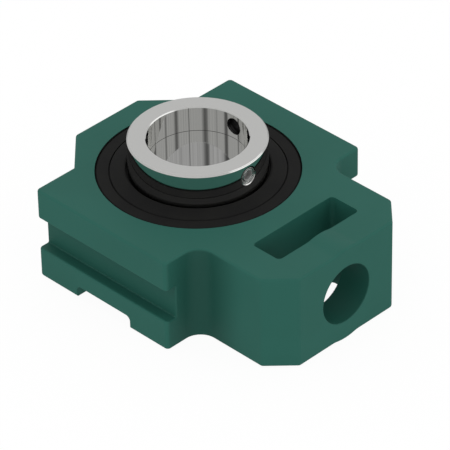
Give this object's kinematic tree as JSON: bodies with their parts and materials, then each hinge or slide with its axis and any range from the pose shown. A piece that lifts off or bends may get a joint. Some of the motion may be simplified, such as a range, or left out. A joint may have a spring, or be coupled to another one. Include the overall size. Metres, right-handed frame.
{
  "type": "housed bearing unit",
  "caption": "Take-up housing with guide grooves, nut slot and adjusting screw hole, holding a sealed insert ball bearing whose extended ring grips a shaft with grub screws.",
  "frame": {"origin": "where the shaft axis crosses the centre plane of the guide grooves", "axes": "+Z along the shaft axis towards the end of the ring with the grub screws, +X along the adjusting screw axis towards the nose, +Y across to the left guide groove"},
  "size_m": [0.1544, 0.1186, 0.0629],
  "materials": {
    "green_paint": "satin enamel over a casting",
    "ring_steel": "ground and polished",
    "black_steel": "black oxide",
    "ball_steel": "polished",
    "cage_plastic": "moulded",
    "seal_rubber": "moulded",
    "screw_steel": "machined",
    "plated_steel": "zinc plated"
  },
  "bodies": {
    "housing_body": {"housing": "green_paint", "grease_nipple": "plated_steel"},
    "insert_body": {"outer_ring": "black_steel", "upper_seal": "seal_rubber", "lower_seal": "seal_rubber"},
    "ring_body": {"inner_ring": "ring_steel", "upper_flinger": "black_steel", "lower_flinger": "black_steel"},
    "cage_body": {"cage": "cage_plastic"},
    "front_screw_body": {"front_grub_screw": "screw_steel"},
    "side_screw_body": {"side_grub_screw": "screw_steel"},
    "ball_01_body": {"ball_01": "ball_steel"},
    "ball_02_body": {"ball_02": "ball_steel"},
    "ball_03_body": {"ball_03": "ball_steel"},
    "ball_04_body": {"ball_04": "ball_steel"},
    "ball_05_body": {"ball_05": "ball_steel"},
    "ball_06_body": {"ball_06": "ball_steel"},
    "ball_07_body": {"ball_07": "ball_steel"},
    "ball_08_body": {"ball_08": "ball_steel"},
    "ball_09_body": {"ball_09": "ball_steel"},
    "ball_10_body": {"ball_10": "ball_steel"}
  },
  "joints": [
    {"name": "insert_tilt", "type": "hinge", "parent": "housing_body", "child": "insert_body", "pos_m": [0, 0, 0.0104], "axis": [0, 1, 0], "range_deg": [-2, 2]},
    {"name": "ring_spin", "type": "hinge", "parent": "insert_body", "child": "ring_body", "pos_m": [0, 0, 0.0104], "axis": [0, 0, 1], "continuous": true},
    {"name": "cage_spin", "type": "hinge", "parent": "insert_body", "child": "cage_body", "pos_m": [0, 0, 0.0104], "axis": [0, 0, 1], "continuous": true},
    {"name": "front_screw_feed", "type": "slide", "parent": "ring_body", "child": "front_screw_body", "axis": [-1, 0, 0], "range_m": [-0.003, 0.002]},
    {"name": "side_screw_feed", "type": "slide", "parent": "ring_body", "child": "side_screw_body", "axis": [0, -1, 0], "range_m": [-0.003, 0.002]},
    {"name": "ball_01_roll", "type": "hinge", "parent": "cage_body", "child": "ball_01_body", "pos_m": [0.03457, 0.00547, 0.0104], "axis": [0, 0, 1], "continuous": true},
    {"name": "ball_02_roll", "type": "hinge", "parent": "cage_body", "child": "ball_02_body", "pos_m": [0.02475, 0.02475, 0.0104], "axis": [0, 0, 1], "continuous": true},
    {"name": "ball_03_roll", "type": "hinge", "parent": "cage_body", "child": "ball_03_body", "pos_m": [0.00547, 0.03457, 0.0104], "axis": [0, 0, 1], "continuous": true},
    {"name": "ball_04_roll", "type": "hinge", "parent": "cage_body", "child": "ball_04_body", "pos_m": [-0.01589, 0.03119, 0.0104], "axis": [0, 0, 1], "continuous": true},
    {"name": "ball_05_roll", "type": "hinge", "parent": "cage_body", "child": "ball_05_body", "pos_m": [-0.03119, 0.01589, 0.0104], "axis": [0, 0, 1], "continuous": true},
    {"name": "ball_06_roll", "type": "hinge", "parent": "cage_body", "child": "ball_06_body", "pos_m": [-0.03457, -0.00547, 0.0104], "axis": [0, 0, 1], "continuous": true},
    {"name": "ball_07_roll", "type": "hinge", "parent": "cage_body", "child": "ball_07_body", "pos_m": [-0.02475, -0.02475, 0.0104], "axis": [0, 0, 1], "continuous": true},
    {"name": "ball_08_roll", "type": "hinge", "parent": "cage_body", "child": "ball_08_body", "pos_m": [-0.00547, -0.03457, 0.0104], "axis": [0, 0, 1], "continuous": true},
    {"name": "ball_09_roll", "type": "hinge", "parent": "cage_body", "child": "ball_09_body", "pos_m": [0.01589, -0.03119, 0.0104], "axis": [0, 0, 1], "continuous": true},
    {"name": "ball_10_roll", "type": "hinge", "parent": "cage_body", "child": "ball_10_body", "pos_m": [0.03119, -0.01589, 0.0104], "axis": [0, 0, 1], "continuous": true}
  ],
  "couplings": [
    {"joint": "cage_spin", "follows": "ring_spin", "ratio": 0.40929},
    {"joint": "ball_01_roll", "follows": "ring_spin", "ratio": -2.6652},
    {"joint": "ball_02_roll", "follows": "ring_spin", "ratio": -2.6652},
    {"joint": "ball_03_roll", "follows": "ring_spin", "ratio": -2.6652},
    {"joint": "ball_04_roll", "follows": "ring_spin", "ratio": -2.6652},
    {"joint": "ball_05_roll", "follows": "ring_spin", "ratio": -2.6652},
    {"joint": "ball_06_roll", "follows": "ring_spin", "ratio": -2.6652},
    {"joint": "ball_07_roll", "follows": "ring_spin", "ratio": -2.6652},
    {"joint": "ball_08_roll", "follows": "ring_spin", "ratio": -2.6652},
    {"joint": "ball_09_roll", "follows": "ring_spin", "ratio": -2.6652},
    {"joint": "ball_10_roll", "follows": "ring_spin", "ratio": -2.6652}
  ]
}
